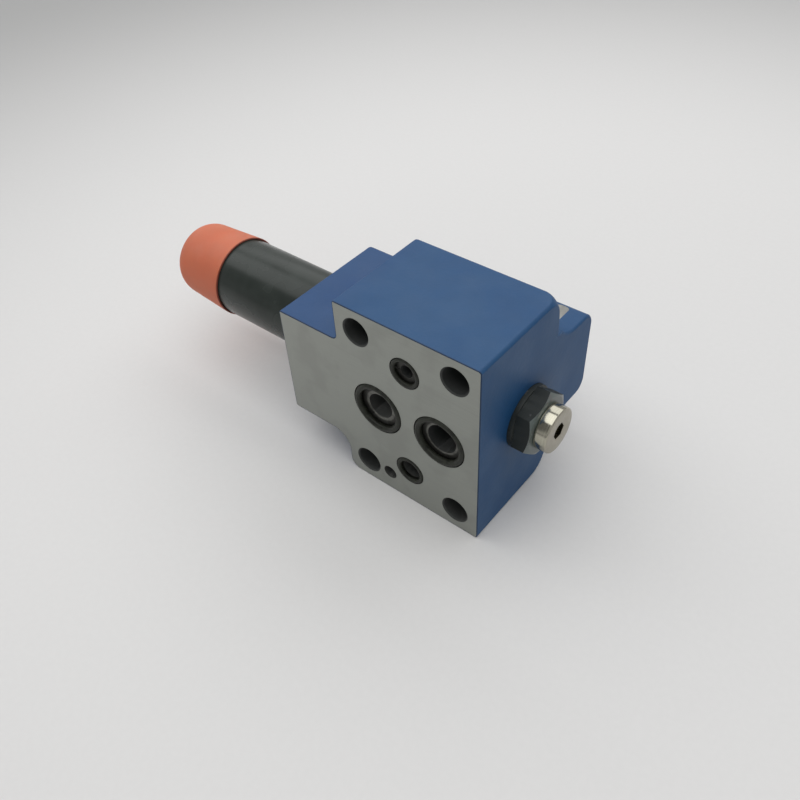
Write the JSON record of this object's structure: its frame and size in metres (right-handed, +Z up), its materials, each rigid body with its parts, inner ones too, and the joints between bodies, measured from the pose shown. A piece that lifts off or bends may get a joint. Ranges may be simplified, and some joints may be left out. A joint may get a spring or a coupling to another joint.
{
  "type": "hydraulic pressure reducing valve",
  "caption": "Subplate mounted pressure reducing valve with a spring sleeve under a soft cap, a hexagon end plug and a gauge plug.",
  "frame": {"origin": "centre of the four mounting bolts, on the mounting face", "axes": "+X along the valve axis from the cap to the gauge plug, +Y from the mounting face into the body, +Z up as the valve lies on its side"},
  "size_m": [0.1965, 0.0756, 0.0858],
  "materials": {
    "body_casting": "blue painted casting, mounting face ground bare",
    "ground_steel": "hardened and ground",
    "turned_steel": "turned",
    "spring_steel": "oiled spring wire",
    "zinc_steel": "zinc plated",
    "black_sleeve": "smooth glossy black",
    "soft_orange": "soft smooth plastic",
    "black_plug": "blackened steel",
    "bright_plug": "nickel plated",
    "check_plug_steel": "blackened steel",
    "port_rubber": "smooth black rubber",
    "seal_rubber": "smooth black rubber"
  },
  "bodies": {
    "valve": {"valve_body": "body_casting", "spring_sleeve": "black_sleeve", "sleeve_seal": "seal_rubber", "lock_nut": "zinc_steel", "end_plug": "black_plug", "end_plug_seal": "seal_rubber", "gauge_plug": "bright_plug", "gauge_plug_seal": "seal_rubber", "port_a_seal": "port_rubber", "port_b_seal": "port_rubber", "port_x_seal": "port_rubber", "port_y_seal": "port_rubber", "check_seat": "ground_steel", "check_spring": "spring_steel", "check_plug": "check_plug_steel", "check_plug_seal": "seal_rubber", "main_spring": "spring_steel"},
    "spool": {"control_spool": "ground_steel", "damping_orifice": "turned_steel", "spring_seat": "turned_steel"},
    "plate": {"spring_plate": "turned_steel", "plate_seal": "seal_rubber"},
    "screw": {"adjusting_screw": "zinc_steel"},
    "cap": {"protective_cap": "soft_orange"},
    "poppet": {"check_poppet": "ground_steel"}
  },
  "joints": [
    {"name": "cap_pull", "type": "slide", "parent": "valve", "child": "cap", "axis": [-1, 0, 0], "range_m": [0, 0.036]},
    {"name": "plate_advance", "type": "slide", "parent": "valve", "child": "plate", "axis": [1, 0, 0], "range_m": [0, 0.009], "deforming": ["main_spring"]},
    {"name": "screw_turn", "type": "hinge", "parent": "plate", "child": "screw", "pos_m": [-0.13, 0.03, 0], "axis": [1, 0, 0], "range_deg": [0, 2160]},
    {"name": "spool_slide", "type": "slide", "parent": "valve", "child": "spool", "axis": [-1, 0, 0], "range_m": [0, 0.006], "stiffness_N_per_m": 22000, "springref_m": -0.006, "deforming": ["main_spring"]},
    {"name": "check_lift", "type": "slide", "parent": "valve", "child": "poppet", "axis": [1, 0, 0], "range_m": [0, 0.003], "stiffness_N_per_m": 900, "springref_m": -0.004, "deforming": ["check_spring"]}
  ],
  "couplings": [
    {"joint": "screw_turn", "follows": "plate_advance", "rad_per_m": 4188.8}
  ]
}
